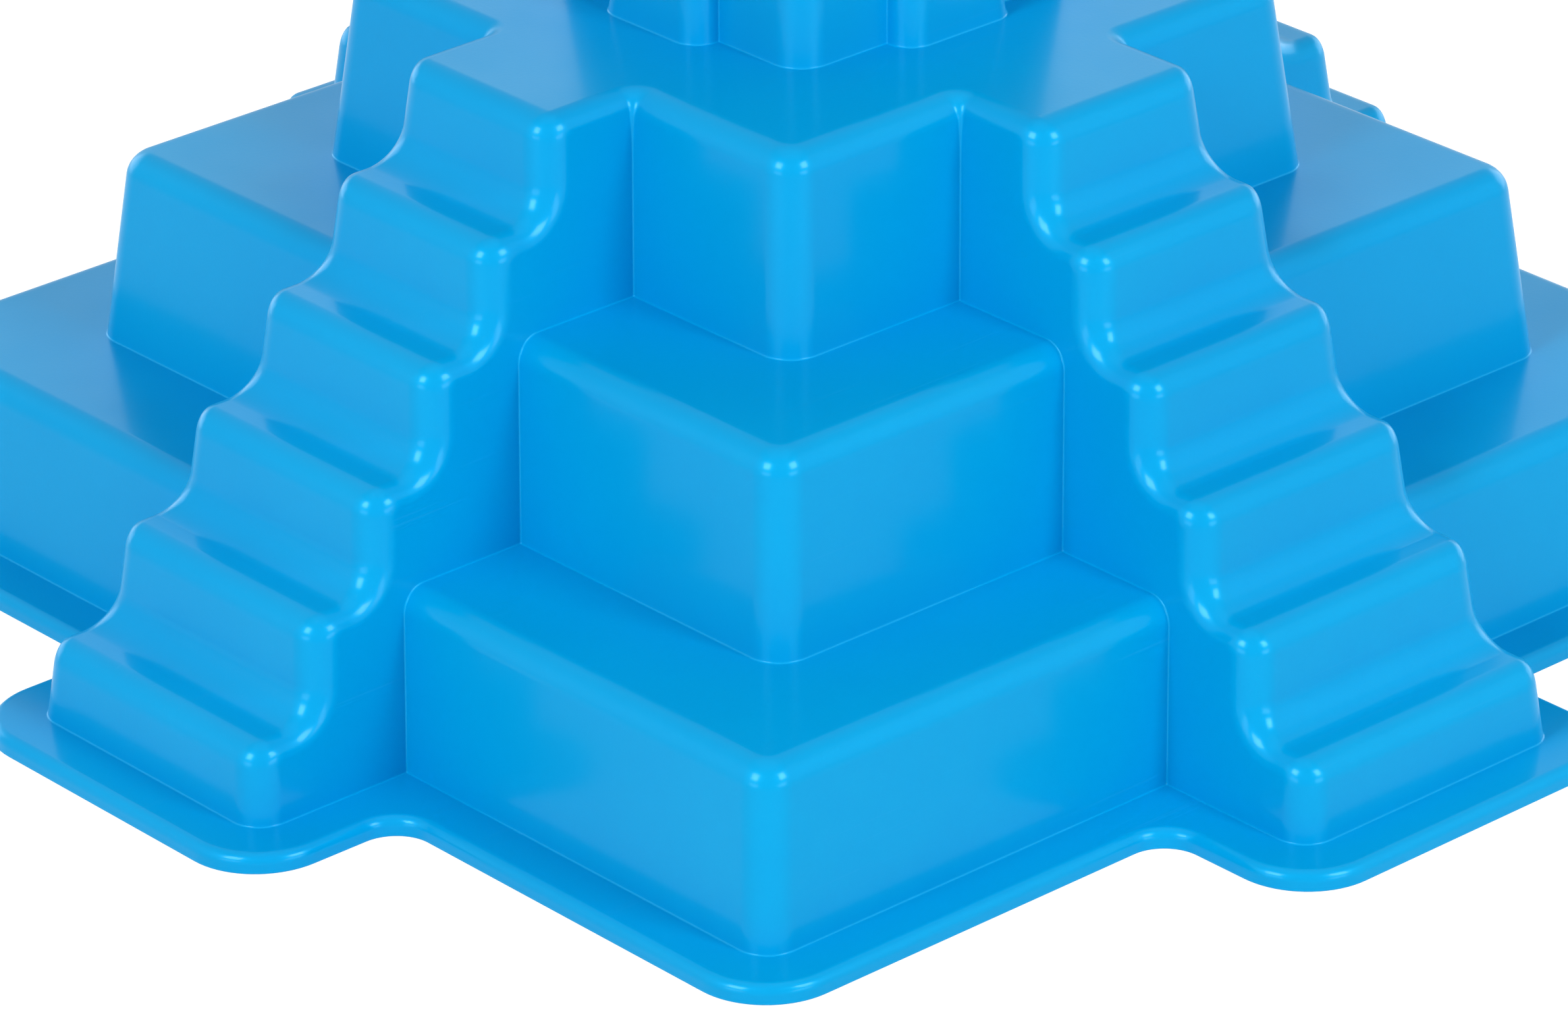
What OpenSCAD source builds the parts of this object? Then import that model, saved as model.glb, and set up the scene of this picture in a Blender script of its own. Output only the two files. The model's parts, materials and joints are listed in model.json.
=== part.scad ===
// Stepped-pyramid sand mould: one thin drafted shell, open underneath.
// The origin is the centre of the plane that the rim stands on, and Z points up.
// The four stairways face -Y, +X, +Y and -X.

/* [Tiers] */
// Height of each of the three tiers
tier_h = 30; // [26:1:36]
// How far the foot of each tier stands out from the foot of the tier above
tier_setback = 25; // [23:0.5:28]
// How far the foot of the top tier stands out from the foot of the temple block
landing_out = 24.5; // [20:0.5:32]
// Lean of every wall from upright, in degrees, which lets the packed sand slide out
draft_angle = 6.3; // [4:0.1:7]

/* [Stairways] */
// Width of each stairway at the ground
stair_w = 52; // [46:1:60]
// How far the lowest riser stands out from the lowest tier at the ground
stair_out = 27.5; // [25:0.5:32]
// Radius of the nose of each step
nose_r = 4; // [3:0.25:4.5]
// Radius of the cove between a riser and the tread below it
cove_r = 5.5; // [3:0.25:6]
// Radius of the side edges of a stairway along its risers
stair_corner_r = 4; // [3.5:0.25:5]
// Radius of the side edges of a stairway along its treads
stair_edge_r = 3; // [2.5:0.25:3.5]

/* [Edges] */
// Radius of the upright corners of the tiers and the temple
corner_r = 5.75; // [4.5:0.25:6.5]
// Radius of the level top edges of the tiers and the temple
edge_r = 3.5; // [2.5:0.25:4]

/* [Temple] */
// Width of the temple block where it stands on the landing
temple_w = 56; // [52:1:58]
// Height of the temple above the landing
temple_h = 30; // [22:1:40]
// Width of each porch where it stands on the landing
porch_w = 21.6; // [18:0.2:26]
// How far each porch stands out from the temple block
porch_out = 4.7; // [3:0.1:6]
// Radius of the upright corners of the porches
porch_corner_r = 4; // [3.5:0.25:5]
// Height of the roof cap, which carries the rounded top edges of the temple
roof_cap_h = 5; // [4:0.5:8]

/* [Wall and rim] */
// Thickness of the moulded wall
wall = 2; // [1.5:0.1:2.4]
// How far the rim stands out from the foot of the walls
rim_out = 8; // [6:0.5:12]
// Height of the top of the rim above the ground
rim_h = 3; // [2.8:0.1:4]
// Width of the lip that turns down along the edge of the rim
lip_w = 2; // [1.5:0.1:3]
// Radius of the top edge of the rim
rim_edge_r = 1.6; // [1:0.1:1.8]
// Radius of the outward corners of the rim
rim_corner_r = 12; // [8:0.5:14]
// Radius of the inward corners of the rim, where a stairway meets a tier
rim_notch_r = 6; // [4:0.5:8]

/* [Hidden] */
blue = "#0a93e0";

// Steps in the height of each tier
steps_per_tier = 2;
tiers = 3;
// Smallest radius left on an edge by the thickness of the wall
fine_r = 0.3;
// Thickness of the discs that a hull starts from
disc_t = 0.01;
// How far a cutting solid runs past the shell
overrun = 5;

// Facets of a stair nose, of a cove and of a rounded side edge
nose_facets = 4;
cove_facets = 6;
side_facets = 3;
// Facets of the rim's top edge and of its corners
rim_edge_facets = 3;
rim_corner_facets = 6;
// Facets of a full circle on the tiers' and the temple's corners
round_facets = 24;

draft = tan(draft_angle);
// Share of a radius that its tangent takes at the corner of a tread and a riser
tangent_share = tan((90 - draft_angle) / 2);

steps = tiers * steps_per_tier;
step_rise = tier_h / steps_per_tier;
step_run = tier_setback / steps_per_tier;
landing_h = tiers * tier_h;
roof_h = landing_h + temple_h;
side_half = temple_w / 2 + landing_out + (tiers - 1) * tier_setback;
stair_reach = side_half + stair_out;
// Distance from the centre to the virtual edge of the top step's nose
top_nose = stair_reach - draft * step_rise - (steps - 1) * step_run;
// Level room between two risers for a nose, a flat and a cove
tread_room = step_run - draft * step_rise;
nose_extra = max(nose_r - stair_edge_r, fine_r);
cove_fit = min(cove_r, tread_room / tangent_share - nose_extra - (stair_corner_r + stair_edge_r) / 2);

// The inner faces of the wall take half as many facets
function facets_at(facets, inset) = inset > 0 ? ceil(facets / 2) : facets;

function arc(centre, r, from, to, facets) =
    [for (i = [0:facets]) let (a = from + (to - from) * i / facets) centre + r * [cos(a), sin(a)]];

// Height and half-width of a drafted wall
function level(k) = landing_h - k * step_rise;
function half_at(foot_half, foot_z, z) = foot_half - draft * (z - foot_z);

// Stair profile, foot first, each point as [distance out, height, uprightness].
// Risers stand back by in and treads lie lower by down.
function riser_at(k, z, in) = top_nose + k * step_run + draft * (level(k) - z) - in;

function with_uprightness(points, facets, from, to) =
    [for (i = [0:facets]) [points[i][0], points[i][1], pow(cos(from + (to - from) * i / facets), 2)]];

function nose(k, in, down, facets) =
    let (
        r = max(nose_r - down, fine_r),
        z = level(k) - down,
        centre = [riser_at(k, z, in) - r * tangent_share, z - r]
    )
    with_uprightness(arc(centre, r, draft_angle, 90, facets), facets, draft_angle, 90);

function cove(k, in, down, facets) =
    let (
        r = cove_fit + (in + down) / 2,
        z = level(k + 1) - down,
        centre = [riser_at(k, z, in) + r * tangent_share, z + r]
    )
    with_uprightness(arc(centre, r, 270, 180 + draft_angle, facets), facets, 270, 180 + draft_angle);

function stair_profile(in, down, nose_n, cove_n) = concat(
    [[riser_at(steps - 1, -overrun, in), -overrun, 1]],
    [for (n = [1:steps]) let (k = steps - n) each
        concat(nose(k, in, down, nose_n), k > 0 ? cove(k - 1, in, down, cove_n) : [])],
    [[0, landing_h - down, 0]]
);

// Solid stairway along +X, its faces set in by inset, with rounded noses and side edges
module stair_solid(inset = 0) {
    run = inset / cos(draft_angle);
    upright_r = stair_corner_r - inset;
    level_r = max(stair_edge_r - inset, fine_r);
    half_foot = stair_w / 2 - run;
    nose_n = facets_at(nose_facets, inset);
    cove_n = facets_at(cove_facets, inset);
    side_n = facets_at(side_facets, inset);
    sides = concat(
        [for (i = [0:side_n]) [-1, 90 * i / side_n]],
        [for (i = [0:side_n]) [1, 90 * (side_n - i) / side_n]]
    );
    columns = [for (s = sides)
        let (rest = 1 - sin(s[1]), across = 1 - cos(s[1]))
        [for (p = stair_profile(run + upright_r * rest, inset + level_r * rest, nose_n, cove_n))
            let (r = level_r + (upright_r - level_r) * p[2])
            [p[0], s[0] * (half_at(half_foot, 0, p[1]) - r * across), p[1]]]];
    count = len(columns[0]);
    last = len(columns) - 1;
    back_half = half_at(half_foot, 0, -overrun);
    points = concat(
        [for (column = columns) each column],
        [[0, -back_half, -overrun], [0, back_half, -overrun]]
    );
    back = len(columns) * count;
    skin = [for (c = [0:last - 1], p = [0:count - 2])
        [c * count + p, c * count + p + 1, (c + 1) * count + p + 1, (c + 1) * count + p]];
    near_side = concat([0, back], [for (p = [1:count - 1]) count - p]);
    far_side = concat([for (p = [0:count - 1]) last * count + p], [back + 1]);
    underside = concat([for (c = [0:last]) c * count], [back + 1, back]);
    inner_end = concat([back, back + 1], [for (c = [0:last]) (last - c) * count + count - 1]);
    polyhedron(
        points = points,
        faces = concat(skin, [near_side, far_side, underside, inner_end]),
        convexity = steps
    );
}

module each_side() {
    for (turn = [0:90:270])
        rotate([0, 0, turn])
            children();
}

// Upright post of a drafted block: a disc at its foot and a rounded end at its top
module corner_post(foot_at, top_at, z_round, z_top, corner, edge, round_n, edge_n) {
    hull() {
        translate([foot_at[0], foot_at[1], -overrun])
            cylinder(h = disc_t, r = corner, $fn = round_n);
        translate([top_at[0], top_at[1], 0])
            rotate_extrude($fn = round_n)
                polygon(concat(
                    [[0, z_round], [corner, z_round]],
                    arc([corner - edge / cos(draft_angle), z_round], edge, draft_angle, 90, edge_n),
                    [[0, z_top]]
                ));
    }
}

// Drafted block with rounded corners, from under the ground to its top, faces set in by inset
module drafted_block(half_x, half_y, foot_z, top_z, corner, inset) {
    run = inset / cos(draft_angle);
    edge = max(edge_r - inset, fine_r);
    round_r = max(corner - inset, edge + fine_r);
    z_top = top_z - inset;
    z_round = z_top - edge;
    foot_shift = half_at(0, foot_z, -overrun) - run - round_r;
    top_shift = half_at(0, foot_z, z_round) - run - round_r;
    hull()
        for (sx = [-1, 1], sy = [-1, 1])
            corner_post(
                [sx * (half_x + foot_shift), sy * (half_y + foot_shift)],
                [sx * (half_x + top_shift), sy * (half_y + top_shift)],
                z_round, z_top, round_r, edge,
                facets_at(round_facets, inset), facets_at(nose_facets, inset)
            );
}

module tier_block(n, inset = 0) {
    half = side_half - n * tier_setback;
    drafted_block(half, half, n * tier_h, (n + 1) * tier_h, corner_r, inset);
}

// Temple block with a porch in the middle of each side
module temple_block(inset = 0) {
    half = temple_w / 2;
    reach = half + porch_out;
    drafted_block(half, half, landing_h, roof_h, corner_r, inset);
    drafted_block(reach, porch_w / 2, landing_h, roof_h, porch_corner_r, inset);
    drafted_block(porch_w / 2, reach, landing_h, roof_h, porch_corner_r, inset);
}

// Everything inside the wall, which the sand fills
module sand_space() {
    for (n = [0:tiers - 1])
        tier_block(n, wall);
    each_side() stair_solid(wall);
    temple_block(wall);
}

// Rim outline: a square with an arm for each stairway, set in by inset
function rim_quarter(inset) =
    let (
        foot = draft * rim_h,
        reach = stair_reach - foot + rim_out - inset,
        half = stair_w / 2 - foot + rim_out - inset,
        side = side_half - foot + rim_out - inset,
        r = rim_corner_r - inset,
        q = rim_notch_r + inset
    )
    concat(
        arc([reach - r, r - half], r, -90, 0, rim_corner_facets),
        arc([reach - r, half - r], r, 0, 90, rim_corner_facets),
        arc([side + q, half + q], q, 270, 180, rim_corner_facets),
        arc([side - r, side - r], r, 0, 90, rim_corner_facets),
        arc([half + q, side + q], q, 270, 180, rim_corner_facets)
    );

function turned(p, a) = [p[0] * cos(a) - p[1] * sin(a), p[0] * sin(a) + p[1] * cos(a)];

// Solid through a stack of rim outlines, each given as [height, inset]
module rim_stack(rings) {
    outlines = [for (ring = rings)
        [for (a = [0:90:270], p = rim_quarter(ring[1])) concat(turned(p, a), ring[0])]];
    count = len(outlines[0]);
    last = len(rings) - 1;
    skin = [for (k = [0:last - 1], i = [0:count - 1]) let (j = (i + 1) % count)
        [k * count + i, (k + 1) * count + i, (k + 1) * count + j, k * count + j]];
    bottom = [for (i = [0:count - 1]) i];
    top = [for (i = [1:count]) last * count + count - i];
    polyhedron(
        points = [for (outline = outlines) each outline],
        faces = concat(skin, [bottom, top]),
        convexity = tiers
    );
}

// Space between two heights
module between(low, high) {
    span = 2 * (stair_reach + rim_out + overrun);
    translate([-span / 2, -span / 2, low])
        cube([span, span, high - low]);
}

// Wedge over a stairway along +X, between the planes of its two sides
module stair_wedge() {
    low = half_at(stair_w / 2, 0, -overrun);
    high = half_at(stair_w / 2, 0, landing_h + overrun);
    rotate([90, 0, 90])
        linear_extrude(height = stair_reach + overrun)
            polygon([[-low, -overrun], [low, -overrun], [high, landing_h + overrun], [-high, landing_h + overrun]]);
}

// Rim all round the foot, with its turned-down lip
module base_rim() {
    round_start = rim_h - rim_edge_r;
    rounded = [for (p = arc([-rim_edge_r, round_start], rim_edge_r, 0, 90, rim_edge_facets)) [p[1], -p[0]]];
    color(blue)
        difference() {
            rim_stack(concat([[0, 0]], rounded));
            rim_stack([[-overrun, lip_w], [rim_h - wall, lip_w]]);
            sand_space();
        }
}

// Corner walls and terraces of one tier, between the stairways
module tier_corners(n) {
    difference() {
        intersection() {
            tier_block(n);
            between(max(n * tier_h, rim_h), (n + 1) * tier_h);
        }
        sand_space();
        each_side() stair_wedge();
    }
}

module lower_tier() {
    color(blue)
        tier_corners(0);
}

module middle_tier() {
    color(blue)
        tier_corners(1);
}

module upper_tier() {
    color(blue)
        tier_corners(tiers - 1);
}

// One stairway with its share of the landing
module stairway(turn) {
    difference() {
        rotate([0, 0, turn])
            intersection() {
                union() {
                    stair_solid();
                    intersection() {
                        tier_block(tiers - 1);
                        stair_wedge();
                    }
                }
                between(rim_h, landing_h);
            }
        sand_space();
    }
}

module front_stairway() {
    color(blue)
        stairway(-90);
}

module right_stairway() {
    color(blue)
        stairway(0);
}

module back_stairway() {
    color(blue)
        stairway(90);
}

module left_stairway() {
    color(blue)
        stairway(180);
}

module temple_walls() {
    color(blue)
        difference() {
            intersection() {
                temple_block();
                between(landing_h, roof_h - roof_cap_h);
            }
            sand_space();
        }
}

module temple_roof() {
    color(blue)
        difference() {
            intersection() {
                temple_block();
                between(roof_h - roof_cap_h, roof_h);
            }
            sand_space();
        }
}

base_rim();
lower_tier();
middle_tier();
upper_tier();
front_stairway();
right_stairway();
back_stairway();
left_stairway();
temple_walls();
temple_roof();
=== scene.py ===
import json
import math

import bpy
import numpy as np
from mathutils import Matrix, Vector

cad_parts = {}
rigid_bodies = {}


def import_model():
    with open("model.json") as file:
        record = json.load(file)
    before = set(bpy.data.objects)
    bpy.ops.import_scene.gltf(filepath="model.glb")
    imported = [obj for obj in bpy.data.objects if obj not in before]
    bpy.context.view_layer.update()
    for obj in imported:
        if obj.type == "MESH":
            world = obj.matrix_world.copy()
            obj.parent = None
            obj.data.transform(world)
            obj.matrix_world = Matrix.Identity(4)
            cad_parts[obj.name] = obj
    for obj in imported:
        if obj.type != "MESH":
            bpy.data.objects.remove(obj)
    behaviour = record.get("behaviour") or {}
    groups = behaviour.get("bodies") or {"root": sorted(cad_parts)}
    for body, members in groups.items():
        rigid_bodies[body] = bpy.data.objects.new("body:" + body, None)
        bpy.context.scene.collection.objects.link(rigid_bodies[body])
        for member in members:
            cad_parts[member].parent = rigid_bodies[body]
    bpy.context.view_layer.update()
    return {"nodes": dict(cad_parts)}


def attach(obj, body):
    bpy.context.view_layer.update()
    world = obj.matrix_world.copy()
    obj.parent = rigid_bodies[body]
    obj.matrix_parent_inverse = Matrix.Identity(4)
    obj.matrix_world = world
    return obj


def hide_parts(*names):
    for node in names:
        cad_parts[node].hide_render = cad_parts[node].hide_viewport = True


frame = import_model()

# The sizes of the mould, in millimetres: those of the frame's solids, apart from four radii that differ
# from theirs by less than a millimetre
MM = 0.001
TIERS = 3
STEPS_PER_TIER = 2
STEPS = TIERS * STEPS_PER_TIER
TIER_H = 30.0
TIER_SETBACK = 25.0
LANDING_OUT = 24.5
DRAFT = math.tan(math.radians(6.3))
DRAFT_SLANT = math.hypot(1, DRAFT)
STAIR_W = 52.0
STAIR_OUT = 27.5
NOSE_R = 4.0
COVE_R = 5.5
STAIR_CORNER_R = 4.8
STAIR_EDGE_R = 2.9
CORNER_R = 5.1
EDGE_R = 3.6
TEMPLE_W = 56.0
TEMPLE_H = 30.0
PORCH_W = 21.6
PORCH_OUT = 4.7
PORCH_CORNER_R = 4.0
ROOF_CAP_H = 5.0
WALL = 2.0
RIM_OUT = 8.0
RIM_H = 3.0
LIP_W = 2.0
RIM_EDGE_R = 1.6
RIM_CORNER_R = 12.0
RIM_NOTCH_R = 6.0

# Small radii that a mould maker leaves in the inward corners and on the lip's lower edges
FILLET_R = 0.25
LIP_EDGE_R = 0.3
LIP_ROOT_R = 0.5
LEAST_R = 0.8
# How much rounder an inward corner is at the landing's edge, and how far down that reaches
THROAT_R = 1.2
THROAT_DEPTH = 6.0

# How far the hidden foot of one solid reaches into the next, and how far a cut runs past
SINK = 1.0
OVERRUN = 5.0
# Where the pieces part, above or beside the small fillets
SEAM = 0.9

# Facets along the round stretches
CORNER_STEPS = 10
EDGE_STEPS = 8
NOSE_STEPS = 9
COVE_STEPS = 11
SIDE_STEPS = 9
FILLET_STEPS = 8
# Where the stations under a top edge begin, in degrees up its rounding
TOP_START = 88
RIM_CORNER_STEPS = 18
RIM_EDGE_STEPS = 7

STEP_RISE = TIER_H / STEPS_PER_TIER
STEP_RUN = TIER_SETBACK / STEPS_PER_TIER
LANDING_Z = TIERS * TIER_H
ROOF_Z = LANDING_Z + TEMPLE_H
TIER_HALF = TEMPLE_W / 2 + LANDING_OUT + (TIERS - 1) * TIER_SETBACK
STAIR_REACH = TIER_HALF + STAIR_OUT
TOP_NOSE = STAIR_REACH - DRAFT * STEP_RISE - (STEPS - 1) * STEP_RUN
DRAFT_ANGLE = math.atan(DRAFT)
TANGENT_SHARE = math.tan((math.pi / 2 - DRAFT_ANGLE) / 2)

# The attribute that carries the corner normals through the booleans, and when they aren't trusted
SMOOTH = "smooth_normal"
SHORT_NORMAL = 0.5
LEAST_FACING = 0.3

# The plastic: colours, how the gloss is made, and scales per metre
DEEP_BLUE = (0.0, 0.286, 0.606, 1)
LIGHT_BLUE = (0.0, 0.316, 0.636, 1)
MOTTLE_BLUE = (0.0, 0.298, 0.626, 1)
SCRATCH_BLUE = (0.12, 0.42, 0.82, 1)
SPECK_DARK = (0.01, 0.04, 0.16, 1)
SPECK_PALE = (0.4, 0.62, 0.85, 1)
GLOSS_TINT = (0.0, 0.95, 1.0, 1)
IOR = 1.49
SPECULAR, PIGMENT_GLOSS = 0.06, 0.07
ROUGH_LOW, ROUGH_HIGH = 0.28, 0.36
SKIN, SKIN_ROUGHNESS = 0.16, 0.14
DRIFT_SCALE, MOTTLE_SCALE, PATCH_SCALE, SMEAR_SCALE = 12.0, 160.0, 26.0, 70.0
DRIFT_RANGE, SMEAR_RANGE = (0.35, 0.65), (0.3, 0.7)
MOTTLE_RANGE, MOTTLE_SHARE = (0.35, 0.75), 0.5
SCRATCH_ACROSS, SCRATCH_ALONG = 2200.0, 25.0
SCRATCH_RANGE, PATCH_RANGE = (0.70, 0.76), (0.5, 0.62)
SCRATCH_WAYS = (0.3, 0.2, 0.5), (0.1, 0.9, -0.7)
SCRATCH_TINT, SCRATCH_ROUGHNESS = 0.03, 0.05
SPECK_SCALE, SPECK_SIZE, SPECK_EDGE = 55.0, 0.012, 1.5
DARK_ABOVE, DARK_SHARE = 0.88, 0.7
PALE_BELOW, PALE_SHARE = 0.14, 0.5
WAVE_SCALE, WAVE_HEIGHT = 30.0, 0.0001
GRAIN_SCALE, GRAIN_HEIGHT = 1600.0, 0.000012

# The studio. A soft box is its angle from the camera and elevation in degrees, its distance, width and
# height in metres, and its share of a plain light level
WHITE = (1, 1, 1, 1)
FLOOR_SIZE = 8.0
FLOOR_COLOUR = (0.8, 0.8, 0.8, 1)
FLOOR_SHADE = (0.4, 0.4, 0.4, 1)
FLOOR_GLOW = 0.84
SURROUND = 0.11
SOFT_BOXES = {
    "left_key": (-40, 34, 1.0, 0.32, 0.36, 0.54),
    "right_key": (46, 34, 1.0, 0.32, 0.36, 0.51),
    "left_soft": (-70, 25, 1.0, 0.80, 0.80, 0.10),
    "right_soft": (75, 25, 1.0, 0.80, 0.80, 0.09),
    "top_soft": (0, 88, 1.2, 1.00, 1.00, 0.09),
    "back_soft": (180, 24, 1.2, 1.20, 0.36, 0.09),
    "back_left": (-132, 10, 1.2, 0.80, 0.80, 0.42),
    "back_right": (132, 10, 1.2, 0.80, 0.80, 0.42),
    "low_left": (-38, 8, 1.2, 0.50, 0.25, 0.11),
    "low_right": (40, 8, 1.2, 0.50, 0.25, 0.14),
}

# The camera of the photograph, in degrees and millimetres
CAMERA_AZIMUTH = 48.306
CAMERA_ELEVATION = 25.846
CAMERA_ROLL = -0.629
CAMERA_LENS = 183.08
CAMERA_DISTANCE = 1192.53
CAMERA_AIM_Z = 54.33
CAMERA_RIGHT = -5.07
CAMERA_UP = -46.92
SENSOR_WIDTH = 36.0
CLIP_START, CLIP_END = 0.05, 20.0


def turn(r, start, end, steps):
    """Cosines and sines of a round stretch, times its radius, from one angle in degrees to another."""
    angles = np.radians(np.linspace(start, end, steps + 1))
    return r * np.cos(angles), r * np.sin(angles)


def drafted(points, normals):
    """Leans upright walls towards the middle by the draft, so that the form leaves its mould."""
    points, normals = np.array(points, float), np.array(normals, float)
    side = np.sign(points[..., :2])
    points[..., :2] -= side * DRAFT * points[..., 2:]
    normals[..., 2] += DRAFT * (side * normals[..., :2]).sum(-1)
    return points, normals / np.linalg.norm(normals, axis=-1, keepdims=True)


def flat_normal(points):
    """Unit normal of a flat face."""
    following = np.roll(points, -1, axis=0)
    total = np.cross(points, following).sum(0)
    return total / np.linalg.norm(total)


def solid(points, faces, normals):
    """A closed solid as (points, faces, one list of corner normals per face), turned right side out."""
    volume = 0.0
    for face in faces:
        corners = points[face]
        volume += np.einsum("j,ij->", corners[0], np.cross(corners[1:-1], corners[2:]))
    if volume < 0:
        faces = [face[::-1] for face in faces]
        normals = [None if n is None else n[::-1] for n in normals]
    filled = [np.repeat([flat_normal(points[f])], len(f), 0) if n is None else n
              for f, n in zip(faces, normals)]
    return points, faces, filled


def loft(points, normals):
    """Solid through rings of equally many points, with a flat cap at each end."""
    rings, count = points.shape[:2]
    flat_points = points.reshape(-1, 3)
    flat_normals = normals.reshape(-1, 3)
    faces, face_normals = [], []
    for ring in range(rings - 1):
        for i in range(count):
            j = (i + 1) % count
            face = [ring * count + i, ring * count + j, (ring + 1) * count + j, (ring + 1) * count + i]
            faces.append(face)
            face_normals.append(flat_normals[face])
    faces.append(list(range(count))[::-1])
    faces.append([(rings - 1) * count + i for i in range(count)])
    face_normals += [None, None]
    return solid(flat_points, faces, face_normals)


def quarter_turns(part, turns=range(4)):
    """Copies of a solid turned about the upright axis in exact quarter turns."""
    points, faces, normals = part
    copies = []
    for quarter in turns:
        cos, sin = ((1, 0), (0, 1), (-1, 0), (0, -1))[quarter]
        matrix = np.array([[cos, -sin, 0], [sin, cos, 0], [0, 0, 1]], float)
        copies.append((points @ matrix.T, faces, [n @ matrix.T for n in normals]))
    return copies


def mirrored(part):
    """The solid seen in a mirror that stands on the X axis."""
    points, faces, normals = part
    flip = np.array([1, -1, 1], float)
    return points * flip, [f[::-1] for f in faces], [n[::-1] * flip for n in normals]


def make_object(name, parts):
    """One mesh object from solids that don't touch, its corner normals kept as an attribute."""
    points, faces, normals, start = [], [], [], 0
    for part_points, part_faces, part_normals in parts:
        points.append(part_points)
        faces += [[start + i for i in face] for face in part_faces]
        normals += list(part_normals)
        start += len(part_points)
    mesh = bpy.data.meshes.new(name)
    mesh.from_pydata((np.concatenate(points) * MM).tolist(), [], faces)
    kept = mesh.attributes.new(SMOOTH, "FLOAT_VECTOR", "CORNER")
    kept.data.foreach_set("vector", np.concatenate(normals).astype(np.float32).ravel())
    made = bpy.data.objects.new(name, mesh)
    bpy.context.scene.collection.objects.link(made)
    return made


def combined(name, first, steps):
    """A new object: first, then each (operation, object) applied to it in turn."""
    made = bpy.data.objects.new(name, first.data)
    bpy.context.scene.collection.objects.link(made)
    for operation, other in steps:
        step = made.modifiers.new(operation.lower(), "BOOLEAN")
        step.solver = "MANIFOLD"
        step.operation = operation
        step.object = other
    shape = bpy.data.meshes.new_from_object(
        made.evaluated_get(bpy.context.evaluated_depsgraph_get()))
    made.modifiers.clear()
    made.data = shape
    return made


def block(half_x, half_y, foot_z, top_z, corner_r, inset, centre_x=0.0, flare_only=False):
    """Drafted block with rounded corners and top edge and a fillet round its foot, set in by inset."""
    run = inset * DRAFT_SLANT
    edge_r = max(EDGE_R - inset, LEAST_R)
    fillet_r = FILLET_R + inset
    corner_r = corner_r - inset
    foot_z = foot_z - inset
    top_z = top_z - inset
    profile = [(fillet_r, foot_z - SINK, 1, 0)] + [
        (fillet_r * (1 - math.sin(t)), foot_z + fillet_r * (1 - math.cos(t)), math.sin(t), math.cos(t))
        for t in np.radians(np.linspace(0, 90, FILLET_STEPS + 1))]
    if flare_only:
        profile.append((-FILLET_R, foot_z + fillet_r + SINK / 2, 1, 0))
    else:
        profile += [
            (edge_r * (math.cos(s) - 1), top_z + edge_r * (math.sin(s) - 1), math.cos(s), math.sin(s))
            for s in np.radians(np.linspace(0, 90, EDGE_STEPS + 1))]
    axis_x, axis_y = half_x - run - corner_r, half_y - run - corner_r
    rings, normals = [], []
    for out, z, away, up in profile:
        ring, ring_normals = [], []
        for quarter, (sx, sy) in enumerate(((1, 1), (-1, 1), (-1, -1), (1, -1))):
            for a in np.radians(np.linspace(90 * quarter, 90 * quarter + 90, CORNER_STEPS + 1)):
                nx, ny = math.cos(a), math.sin(a)
                r = corner_r + out
                ring.append((centre_x + sx * axis_x + r * nx, sy * axis_y + r * ny, z))
                ring_normals.append((away * nx, away * ny, up))
        rings.append(ring)
        normals.append(ring_normals)
    return loft(*drafted(rings, normals))


def upright(half, z):
    """Half-width that a drafted wall would have at the ground."""
    return half + DRAFT * z


def tier(n, inset):
    half = upright(TIER_HALF - n * TIER_SETBACK, n * TIER_H)
    return block(half, half, max(n * TIER_H, RIM_H), (n + 1) * TIER_H, CORNER_R, inset)


def temple_parts(inset):
    """The temple block and its two porch bars."""
    half = upright(TEMPLE_W / 2, LANDING_Z)
    reach = half + PORCH_OUT
    porch = upright(PORCH_W / 2, LANDING_Z)
    return [
        block(half, half, LANDING_Z, ROOF_Z, CORNER_R, inset),
        block(reach, porch, LANDING_Z, ROOF_Z, PORCH_CORNER_R, inset),
        block(porch, reach, LANDING_Z, ROOF_Z, PORCH_CORNER_R, inset),
    ]


def level(k):
    return LANDING_Z - k * STEP_RISE


def riser(k, z, back):
    return TOP_NOSE + k * STEP_RUN + DRAFT * (level(k) - z) - back


def stair_profile(back, down, foot_z, inner_x):
    """Rows up a stairway: distance out, height, how upright it is there, normal out and normal up."""
    tread_room = STEP_RUN - DRAFT * STEP_RISE
    nose_extra = NOSE_R - STAIR_EDGE_R
    cove_base = min(COVE_R, tread_room / TANGENT_SHARE - nose_extra - (STAIR_CORNER_R + STAIR_EDGE_R) / 2)
    lean = math.degrees(DRAFT_ANGLE)
    rows = [(riser(STEPS - 1, foot_z, back), foot_z, 1, math.cos(DRAFT_ANGLE), math.sin(DRAFT_ANGLE))]
    for k in range(STEPS - 1, -1, -1):
        nose_r = max(NOSE_R - down, LEAST_R)
        z = level(k) - down
        x, up = turn(1, lean, 90, NOSE_STEPS)
        share = np.cos(np.radians(np.linspace(0, 90, NOSE_STEPS + 1))) ** 2
        centre = (riser(k, z, back) - nose_r * TANGENT_SHARE, z - nose_r)
        rows += [(centre[0] + nose_r * a, centre[1] + nose_r * b, s, a, b)
                 for a, b, s in zip(x, up, share)]
        if k == 0:
            continue
        cove_r = cove_base + (back + down) / 2
        x, up = turn(1, 270, 180 + lean, COVE_STEPS)
        share = np.sin(np.radians(np.linspace(0, 90, COVE_STEPS + 1))) ** 2
        centre = (riser(k - 1, z, back) + cove_r * TANGENT_SHARE, z + cove_r)
        rows += [(centre[0] + cove_r * a, centre[1] + cove_r * b, s, -a, -b)
                 for a, b, s in zip(x, up, share)]
    rows.append((inner_x, LANDING_Z - down, 0, 0, 1))
    return np.array(rows)


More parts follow.
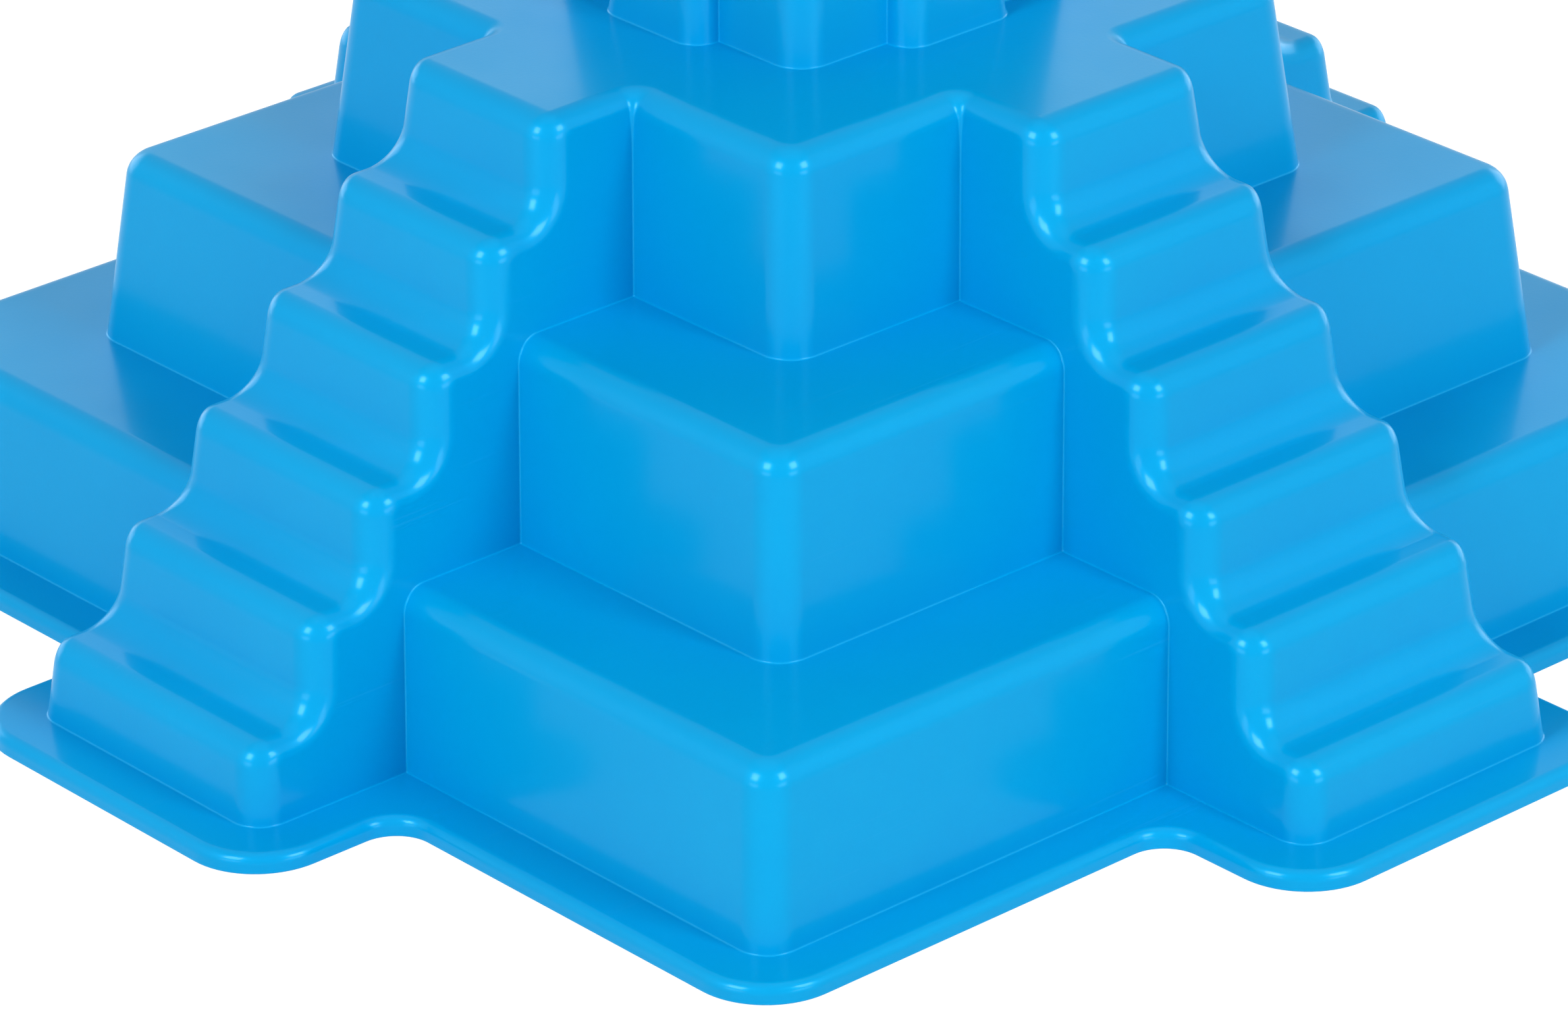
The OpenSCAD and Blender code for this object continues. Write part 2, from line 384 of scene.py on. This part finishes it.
def stair(inset):
    """Solid stairway along +X with rounded noses, coves and side edges, its faces set in by inset."""
    run = inset * DRAFT_SLANT
    upright_r = STAIR_CORNER_R - inset
    level_r = max(STAIR_EDGE_R - inset, LEAST_R)
    half = STAIR_W / 2 - run
    foot_z = RIM_H - inset - SINK
    inner_x = TEMPLE_W / 2 + SINK
    columns, normals = [], []
    sides = [(-1, s) for s in np.linspace(0, 90, SIDE_STEPS + 1)]
    sides += [(1, s) for s in np.linspace(90, 0, SIDE_STEPS + 1)]
    for side, angle in sides:
        c, s = math.cos(math.radians(angle)), math.sin(math.radians(angle))
        rows = stair_profile(run + upright_r * (1 - s), inset + level_r * (1 - s), foot_z, inner_x)
        r = level_r + (upright_r - level_r) * rows[:, 2]
        y = side * (half - DRAFT * rows[:, 1] - r * (1 - c))
        columns.append(np.stack([rows[:, 0], y, rows[:, 1]], -1))
        away = np.array([0, side, DRAFT])
        normal = c * away + s * np.stack([rows[:, 3], 0 * y, rows[:, 4]], -1)
        normals.append(normal / np.linalg.norm(normal, axis=-1, keepdims=True))
    points = np.concatenate(columns)
    corner_normals = np.concatenate(normals)
    count, last = len(columns[0]), len(columns) - 1
    back_half = half - DRAFT * foot_z
    points = np.concatenate([points, [[inner_x, -back_half, foot_z], [inner_x, back_half, foot_z]]])
    faces, face_normals = [], []
    for c in range(last):
        for p in range(count - 1):
            face = [c * count + p, (c + 1) * count + p, (c + 1) * count + p + 1, c * count + p + 1]
            faces.append(face)
            face_normals.append(corner_normals[face])
    back = len(columns) * count
    faces.append(list(range(count)) + [back])
    faces.append([last * count + p for p in range(count - 1, -1, -1)] + [back + 1])
    faces.append([c * count for c in range(last, -1, -1)] + [back, back + 1])
    faces.append([c * count + count - 1 for c in range(last + 1)] + [back + 1, back])
    face_normals += [None] * 4
    return solid(points, faces, face_normals)


def stair_foot(inset):
    """The fillet round the foot of a stairway, where it stands on the rim."""
    inner_x = TEMPLE_W / 2 + SINK
    half, centre = (STAIR_REACH - inner_x) / 2, (STAIR_REACH + inner_x) / 2
    return block(half, STAIR_W / 2, RIM_H, LANDING_Z, STAIR_CORNER_R, inset, centre, flare_only=True)


def station(centre, first, second, radius, lift=0.0, side_lift=0.0):
    """One ring of a fillet: its centre, each wall's normal, its radius, and how far the normals lean up."""
    return tuple(np.array(v, float) for v in (centre, first, second)) + (radius, lift, side_lift)


def fillet_bar(stations):
    """Bar that fills an inward corner, through the stations along it."""
    rings, normals = [], []
    for centre, first, second, radius, lift, side_lift in stations:
        angle = math.acos(max(-1.0, min(1.0, float(first @ second))))
        ring, ring_normals = [], []
        for share in np.linspace(0, 1, FILLET_STEPS + 1):
            away = math.sin((1 - share) * angle) * first + math.sin(share * angle) * second
            away /= math.sin(angle)
            lean = lift + (side_lift - lift) * share
            ring.append(centre - radius * away)
            ring_normals.append(math.cos(lean) * away + math.sin(lean) * np.array([0, 0, 1]))
        rings.append(ring + [centre - (radius + SINK / 2) * (first + second)])
        normals.append(ring_normals + [first])
    return loft(*drafted(rings, normals))


def top_corner(half, side, top_z, edge_r, side_r, least_r):
    """Stations down an inward corner: wide where the rounded top edge turns through it, thin below."""
    heights = [top_z - edge_r * (1 - math.sin(a))
               for a in np.radians(np.linspace(TOP_START, 0, EDGE_STEPS + 1))]
    heights += [top_z - edge_r - drop for drop in np.linspace(0, THROAT_DEPTH, EDGE_STEPS + 1)[1:]]
    stations = []
    for z in heights:
        lift, side_lift = (math.asin(max(0.0, 1 - (top_z - z) / r)) for r in (edge_r, side_r))
        back, side_back = edge_r * (1 - math.cos(lift)), side_r * (1 - math.cos(side_lift))
        wide = (1 - (top_z - z) / (edge_r + THROAT_DEPTH)) ** 2
        radius = least_r + THROAT_R * wide + (back + side_back) / 2
        centre = (half - back + radius, side - side_back + radius, z)
        stations.append(station(centre, (1, 0, 0), (0, 1, 0), radius, lift, side_lift))
    return stations


def foot_corner(half, side, foot_z, radius):
    """Stations round the point where two walls stand on a level surface."""
    centre = (half + radius, side + radius, foot_z + radius)
    return [station(centre, (math.cos(a), 0, math.sin(a)), (0, 1, 0), radius)
            for a in np.radians(np.linspace(0, 90, EDGE_STEPS + 1))]


def stair_fillet(inset):
    """Fillet down one side of a stairway, over each tier's wall and terrace."""
    run = inset * DRAFT_SLANT
    radius = FILLET_R + inset
    edge_r = max(EDGE_R - inset, LEAST_R)
    side = STAIR_W / 2 - run
    stations = []
    for n in range(TIERS - 1, -1, -1):
        half = upright(TIER_HALF - n * TIER_SETBACK, n * TIER_H) - run
        top_z = (n + 1) * TIER_H - inset
        if n == TIERS - 1:
            side_r = max(STAIR_EDGE_R - inset, LEAST_R)
            stations += top_corner(half, side, top_z, edge_r, side_r, radius)
        else:
            out = edge_r + radius
            for a in np.radians(np.linspace(90, 0, EDGE_STEPS + 1)):
                c, s = math.cos(a), math.sin(a)
                centre = (half - edge_r + out * c, side + radius, top_z - edge_r + out * s)
                stations.append(station(centre, (c, 0, s), (0, 1, 0), radius))
        stations += foot_corner(half, side, max(n * TIER_H, RIM_H) - inset, radius)
    return fillet_bar(stations)


def porch_fillet(inset):
    """Fillet between a porch's side and the temple block."""
    run = inset * DRAFT_SLANT
    radius = FILLET_R + inset
    edge_r = max(EDGE_R - inset, LEAST_R)
    half = upright(TEMPLE_W / 2, LANDING_Z) - run
    side = upright(PORCH_W / 2, LANDING_Z) - run
    stations = top_corner(half, side, ROOF_Z - inset, edge_r, edge_r, radius)
    stations += foot_corner(half, side, LANDING_Z - inset, radius)
    return fillet_bar(stations)


def rim_outline(inset):
    """Points and normals of the rim's outline: a square with an arm for each stairway."""
    foot = DRAFT * RIM_H
    reach = STAIR_REACH - foot + RIM_OUT - inset
    half = STAIR_W / 2 - foot + RIM_OUT - inset
    side = TIER_HALF - foot + RIM_OUT - inset
    r, q = RIM_CORNER_R - inset, RIM_NOTCH_R + inset
    arcs = [((reach - r, r - half), r, -90, 0), ((reach - r, half - r), r, 0, 90),
            ((side + q, half + q), -q, 270, 180), ((side - r, side - r), r, 0, 90),
            ((half + q, side + q), -q, 270, 180)]
    points, normals = [], []
    for centre, radius, start, end in arcs:
        for a in np.radians(np.linspace(start, end, RIM_CORNER_STEPS + 1)):
            way = np.array([math.cos(a), math.sin(a)])
            points.append(np.array(centre) + abs(radius) * way)
            normals.append(way * np.sign(radius))
    points, normals = np.array(points), np.array(normals)
    quarter = np.array([[0, -1], [1, 0]], float)
    all_points, all_normals = [points], [normals]
    for _ in range(3):
        all_points.append(all_points[-1] @ quarter.T)
        all_normals.append(all_normals[-1] @ quarter.T)
    return np.concatenate(all_points), np.concatenate(all_normals)


def rim_stack(profile):
    """Solid through rim outlines, each given as (inset, height, normal out, normal up)."""
    rings, normals = [], []
    for inset, z, out, up in profile:
        points, ways = rim_outline(inset)
        rings.append(np.column_stack([points, np.full(len(points), z)]))
        normals.append(np.column_stack([ways * out, np.full(len(points), up)]))
    return loft(np.array(rings), np.array(normals))


def rim_plate():
    """The rim as a solid plate with its rounded edges."""
    profile = []
    for a in np.radians(np.linspace(-90, 0, RIM_EDGE_STEPS + 1)):
        c, s = math.cos(a), math.sin(a)
        profile.append((LIP_EDGE_R * (1 - c), LIP_EDGE_R * (1 + s), c, s))
    for a in np.radians(np.linspace(0, 90, RIM_EDGE_STEPS + 1)):
        c, s = math.cos(a), math.sin(a)
        profile.append((RIM_EDGE_R * (1 - c), RIM_H - RIM_EDGE_R * (1 - s), c, s))
    return rim_stack(profile)


def rim_hollow():
    """The space under the rim, inside its turned-down lip."""
    ceiling = RIM_H - WALL
    profile = [(LIP_W - LIP_EDGE_R, -SINK, 1, 0)]
    for a in np.radians(np.linspace(90, 0, RIM_EDGE_STEPS + 1)):
        c, s = math.cos(a), math.sin(a)
        profile.append((LIP_W - LIP_EDGE_R * (1 - c), LIP_EDGE_R * (1 - s), c, -s))
    for a in np.radians(np.linspace(0, 90, RIM_EDGE_STEPS + 1)):
        c, s = math.cos(a), math.sin(a)
        profile.append((LIP_W + LIP_ROOT_R * (1 - c), ceiling - LIP_ROOT_R * (1 - s), c, s))
    return rim_stack(profile)


def form_parts(inset):
    """Everything above the rim, as objects to be joined, with faces set in by inset."""
    tag = "outer" if inset == 0 else "inner"
    parts = [make_object(f"{tag}_tier_{n}", [tier(n, inset)]) for n in range(TIERS)]
    parts += [make_object(f"{tag}_temple_{i}", [p]) for i, p in enumerate(temple_parts(inset))]
    parts.append(make_object(f"{tag}_stairs", quarter_turns(stair(inset))))
    parts.append(make_object(f"{tag}_stair_feet", quarter_turns(stair_foot(inset))))
    for make, name in ((stair_fillet, "stair_fillets"), (porch_fillet, "porch_fillets")):
        bar = make(inset)
        parts.append(make_object(f"{tag}_{name}", quarter_turns(bar) + quarter_turns(mirrored(bar))))
    return parts


def slab(low, high):
    """Region between two heights."""
    span = STAIR_REACH + RIM_OUT + OVERRUN
    corners = np.array([(-span, -span), (span, -span), (span, span), (-span, span)])
    rings = [np.column_stack([corners, np.full(4, z)]) for z in (low, high)]
    return loft(np.array(rings), np.zeros((2, 4, 3)))


def stair_wedge(low, high):
    """Region over a stairway along +X, a seam wider than the stairway."""
    inner, outer = TEMPLE_W / 2 - 2 * WALL - SINK, STAIR_REACH + RIM_OUT + OVERRUN
    rings = []
    for z in (low, high):
        half = STAIR_W / 2 - DRAFT * z + SEAM
        rings.append([(inner, -half, z), (outer, -half, z), (outer, half, z), (inner, half, z)])
    return loft(np.array(rings, float), np.zeros((2, 4, 3)))


def finish_piece(made, material):
    """Sets the smooth normals that the form was made with, and the material."""
    mesh = made.data
    kept = np.zeros(len(mesh.loops) * 3, np.float32)
    mesh.attributes[SMOOTH].data.foreach_get("vector", kept)
    normals = kept.reshape(-1, 3)
    lengths = np.linalg.norm(normals, axis=1)
    flat = np.zeros((len(mesh.loops), 3), np.float32)
    for face in mesh.polygons:
        flat[face.loop_start:face.loop_start + face.loop_total] = face.normal
    # A subtracted solid's faces point the other way round than when they were made
    facing = (normals * flat).sum(1)
    normals *= np.sign(facing)[:, None]
    unsure = (lengths < SHORT_NORMAL) | (np.abs(facing) < LEAST_FACING * lengths)
    normals = np.where(unsure[:, None], flat, normals / np.maximum(lengths, 1e-6)[:, None])
    mesh.attributes.remove(mesh.attributes[SMOOTH])
    mesh.shade_smooth()
    mesh.normals_split_custom_set(normals.tolist())
    mesh.materials.clear()
    mesh.materials.append(material)


def mould_pieces():
    """The mould as one shell, parted into the pieces that stand for the frame's nodes."""
    outer = form_parts(0.0)
    inner = form_parts(WALL)
    full = combined("full_form", make_object("rim_plate", [rim_plate()]),
                    [("UNION", p) for p in outer])
    hollow = combined("hollow_form", make_object("rim_hollow", [rim_hollow()]),
                      [("UNION", p) for p in inner])
    shell = combined("shell", full, [("DIFFERENCE", hollow)])
    top = ROOF_Z + OVERRUN
    low_seam, high_seam = RIM_H + SEAM, LANDING_Z + SEAM
    wedges = [make_object(f"wedge_{i}", [w]) for i, w in
              enumerate(quarter_turns(stair_wedge(low_seam - OVERRUN, high_seam + OVERRUN)))]
    stair_wedges = [make_object(f"stair_wedge_{i}", [w]) for i, w in
                    enumerate(quarter_turns(stair_wedge(low_seam, high_seam)))]
    pieces = {}

    def part(node, low, high, cuts=()):
        region = make_object(f"{node}_region", [slab(low, high)])
        steps = [("INTERSECT", region)] + [("DIFFERENCE", c) for c in cuts]
        pieces[node] = combined(f"{node}_shell", shell, steps)

    part("base_rim", -OVERRUN, low_seam)
    for n, node in enumerate(("lower_tier", "middle_tier", "upper_tier")):
        low = low_seam if n == 0 else n * TIER_H + SEAM
        part(node, low, (n + 1) * TIER_H + SEAM, wedges)
    for side, region in zip(("right", "back", "left", "front"), stair_wedges):
        pieces[f"{side}_stairway"] = combined(f"{side}_stairway_shell", shell, [("INTERSECT", region)])
    part("temple_walls", high_seam, ROOF_Z - ROOF_CAP_H)
    part("temple_roof", ROOF_Z - ROOF_CAP_H, top)
    keep = {p.name for p in pieces.values()} | {o.name for o in frame["nodes"].values()}
    for o in list(bpy.context.scene.objects):
        if o.type == "MESH" and o.name not in keep:
            bpy.data.objects.remove(o)
    return pieces


class Nodes:
    """Short calls for a material's node tree."""

    def __init__(self, name):
        self.material = bpy.data.materials.new(name)
        self.material.use_nodes = True
        self.tree = self.material.node_tree
        self.shader = self.tree.nodes["Principled BSDF"]
        self.output = self.tree.nodes["Material Output"]

    def add(self, kind, inputs=None, **settings):
        """A new node; an input is a number, a colour or another node's socket."""
        node = self.tree.nodes.new(kind)
        for key, value in settings.items():
            setattr(node, key, value)
        for key, value in (inputs or {}).items():
            self.set(node, key, value)
        return node

    def set(self, node, key, value):
        if isinstance(value, bpy.types.NodeSocket):
            self.tree.links.new(value, node.inputs[key])
        else:
            node.inputs[key].default_value = value

    def noise(self, where, scale, detail=2.0, roughness=0.5):
        inputs = {"Vector": where, "Scale": scale, "Detail": detail, "Roughness": roughness}
        return self.add("ShaderNodeTexNoise", inputs).outputs["Fac"]

    def ranged(self, value, low, high, to_low=0.0, to_high=1.0):
        """The value's stretch from low to high spread over to_low to to_high, and held there beyond."""
        inputs = {"Value": value, "From Min": low, "From Max": high, "To Min": to_low, "To Max": to_high}
        return self.add("ShaderNodeMapRange", inputs).outputs["Result"]

    def maths(self, operation, first, second):
        return self.add("ShaderNodeMath", {0: first, 1: second}, operation=operation).outputs[0]

    def bump(self, height, depth, under=None):
        node = self.add("ShaderNodeBump", {"Height": height, "Strength": 1.0, "Distance": depth})
        if under is not None:
            self.set(node, "Normal", under)
        return node.outputs[0]

    def blend(self, share, first, second):
        """Colour between two, each a colour or a socket."""
        node = self.add("ShaderNodeMix", data_type="RGBA")
        self.set(node, "Factor", share)
        self.set(node, 6, first)
        self.set(node, 7, second)
        return node.outputs[2]

    def scratches(self, where, angle):
        """Fine straight scratches, where 1 is inside one: a noise drawn out along one direction."""
        size = (SCRATCH_ACROSS, SCRATCH_ALONG, SCRATCH_ACROSS)
        turned = self.add("ShaderNodeMapping", {"Vector": where, "Rotation": angle, "Scale": size})
        return self.ranged(self.noise(turned.outputs[0], 1.0, detail=1.0), *SCRATCH_RANGE)


def pigment(made, where, marks):
    """The plastic's colour: slow drift, fine mottle, faint scratches, and a few dark and pale specks."""
    drift = made.ranged(made.noise(where, DRIFT_SCALE, detail=3.0), *DRIFT_RANGE)
    colour = made.blend(drift, DEEP_BLUE, LIGHT_BLUE)
    mottle = made.noise(where, MOTTLE_SCALE, detail=4.0, roughness=0.7)
    colour = made.blend(made.ranged(mottle, *MOTTLE_RANGE, 0.0, MOTTLE_SHARE), colour, MOTTLE_BLUE)
    colour = made.blend(made.maths("MULTIPLY", marks, SCRATCH_TINT), colour, SCRATCH_BLUE)

    cells = made.add("ShaderNodeTexVoronoi", {"Vector": where, "Scale": SPECK_SCALE})
    chance = made.add("ShaderNodeSeparateColor", {"Color": cells.outputs["Color"]}).outputs[0]
    near = made.ranged(cells.outputs["Distance"], SPECK_SIZE, SPECK_SIZE * SPECK_EDGE, 1.0, 0.0)
    for test, limit, share, tint in (("GREATER_THAN", DARK_ABOVE, DARK_SHARE, SPECK_DARK),
                                     ("LESS_THAN", PALE_BELOW, PALE_SHARE, SPECK_PALE)):
        speck = made.maths("MULTIPLY", near, made.maths(test, chance, limit))
        colour = made.blend(made.maths("MULTIPLY", speck, share), colour, tint)
    return colour


def plastic():
    """Glossy sky-blue moulded plastic: a thin clear skin over a softer gloss, slightly wavy and grained."""
    made = Nodes("sky_blue_plastic")
    where = made.add("ShaderNodeTexCoord").outputs["Object"]
    patches = made.ranged(made.noise(where, PATCH_SCALE), *PATCH_RANGE)
    marks = made.maths("MULTIPLY", patches,
                       made.maths("MAXIMUM", *(made.scratches(where, way) for way in SCRATCH_WAYS)))
    made.set(made.shader, "Base Color", pigment(made, where, marks))

    smear = made.noise(where, SMEAR_SCALE, detail=5.0, roughness=0.6)
    smear = made.ranged(smear, *SMEAR_RANGE, ROUGH_LOW, ROUGH_HIGH)
    scored = made.maths("MULTIPLY", marks, SCRATCH_ROUGHNESS)
    made.set(made.shader, "Roughness", made.maths("ADD", smear, scored))

    wave = made.bump(made.noise(where, WAVE_SCALE, detail=1.0), WAVE_HEIGHT)
    grain = made.bump(made.noise(where, GRAIN_SCALE), GRAIN_HEIGHT, wave)
    made.set(made.shader, "Normal", grain)

    made.set(made.shader, "IOR", IOR)
    made.set(made.shader, "Specular IOR Level", SPECULAR)
    made.set(made.shader, "Specular Tint", GLOSS_TINT)
    # Part of the gloss takes the pigment's colour, so that it stays as blue as in the photograph
    made.set(made.shader, "Metallic", PIGMENT_GLOSS)
    made.set(made.shader, "Coat Weight", SKIN)
    made.set(made.shader, "Coat Roughness", SKIN_ROUGHNESS)
    return made.material


def lit_or_seen(tree, lit, seen):
    """One output that is lit for soft light, and seen where the camera, gloss or glass looks at it."""
    path = tree.nodes.new("ShaderNodeLightPath")
    share = path.outputs["Is Camera Ray"]
    for ray in ("Is Glossy Ray", "Is Transmission Ray"):
        either = tree.nodes.new("ShaderNodeMath")
        either.operation = "MAXIMUM"
        tree.links.new(share, either.inputs[0])
        tree.links.new(path.outputs[ray], either.inputs[1])
        share = either.outputs[0]
    mix = tree.nodes.new("ShaderNodeMixShader")
    for socket, source in zip(mix.inputs, (share, lit, seen)):
        tree.links.new(source, socket)
    return mix.outputs[0]


def pale_floor():
    """Pale floor that is seen as white and keeps a soft shadow."""
    bpy.ops.mesh.primitive_plane_add(size=FLOOR_SIZE)
    floor = bpy.context.object
    floor.name = "floor"
    made = Nodes("pale_floor")
    matte = made.shader
    made.set(matte, "Base Color", FLOOR_COLOUR)
    made.set(matte, "Roughness", 1.0)
    shade = made.add("ShaderNodeBsdfDiffuse", {"Color": FLOOR_SHADE})
    glow = made.add("ShaderNodeEmission", {"Strength": FLOOR_GLOW})
    white = made.add("ShaderNodeAddShader", {0: shade.outputs[0], 1: glow.outputs[0]})
    both = lit_or_seen(made.tree, matte.outputs[0], white.outputs[0])
    made.tree.links.new(both, made.output.inputs[0])
    floor.data.materials.append(made.material)


def surround():
    """Soft light from all round, seen as white."""
    world = bpy.data.worlds.new("surround")
    bpy.context.scene.world = world
    world.use_nodes = True
    tree = world.node_tree
    soft = tree.nodes["Background"]
    soft.inputs["Color"].default_value = WHITE
    soft.inputs["Strength"].default_value = SURROUND
    white = tree.nodes.new("ShaderNodeBackground")
    white.inputs["Color"].default_value = WHITE
    both = lit_or_seen(tree, soft.outputs[0], white.outputs[0])
    tree.links.new(both, tree.nodes["World Output"].inputs[0])


def direction(azimuth, elevation):
    """Unit vector from the object, with azimuth 0 at its front and 90 at its right."""
    a, e = math.radians(azimuth), math.radians(elevation)
    return Vector((math.sin(a) * math.cos(e), -math.cos(a) * math.cos(e), math.sin(e)))


def soft_boxes():
    """Lamps round the object, each with its share of a plain light level."""
    middle = Vector((0, 0, LANDING_Z / 2 * MM))
    for name, (azimuth, elevation, distance, width, height, share) in SOFT_BOXES.items():
        back = direction(CAMERA_AZIMUTH + azimuth, elevation)
        light = bpy.data.lights.new(name, "AREA")
        light.shape = "RECTANGLE"
        light.size, light.size_y = width, height
        light.energy = share * (math.pi * distance) ** 2
        lamp = bpy.data.objects.new(name, light)
        lamp.location = middle + back * distance
        lamp.rotation_mode = "QUATERNION"
        lamp.rotation_quaternion = (-back).to_track_quat("-Z", "Y")
        bpy.context.scene.collection.objects.link(lamp)


def camera():
    """The camera of the photograph, from its straight edges."""
    back = direction(CAMERA_AZIMUTH, CAMERA_ELEVATION)
    right = direction(CAMERA_AZIMUTH + 90, 0)
    up = back.cross(right)
    place = Vector((0, 0, CAMERA_AIM_Z)) + back * CAMERA_DISTANCE
    place += right * CAMERA_RIGHT + up * CAMERA_UP
    roll = math.radians(CAMERA_ROLL)
    across = right * math.cos(roll) + up * math.sin(roll)
    upward = up * math.cos(roll) - right * math.sin(roll)
    data = bpy.data.cameras.new("camera")
    data.lens = CAMERA_LENS
    data.sensor_width = SENSOR_WIDTH
    data.clip_start, data.clip_end = CLIP_START, CLIP_END
    made = bpy.data.objects.new("camera", data)
    made.matrix_world = Matrix((across, upward, back)).transposed().to_4x4()
    made.location = place * MM
    bpy.context.scene.collection.objects.link(made)
    bpy.context.scene.camera = made


blue = plastic()
for node, piece in mould_pieces().items():
    finish_piece(piece, blue)
    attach(piece, "root")
    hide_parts(node)
pale_floor()
surround()
soft_boxes()
camera()
bpy.context.scene.view_settings.view_transform = "Standard"
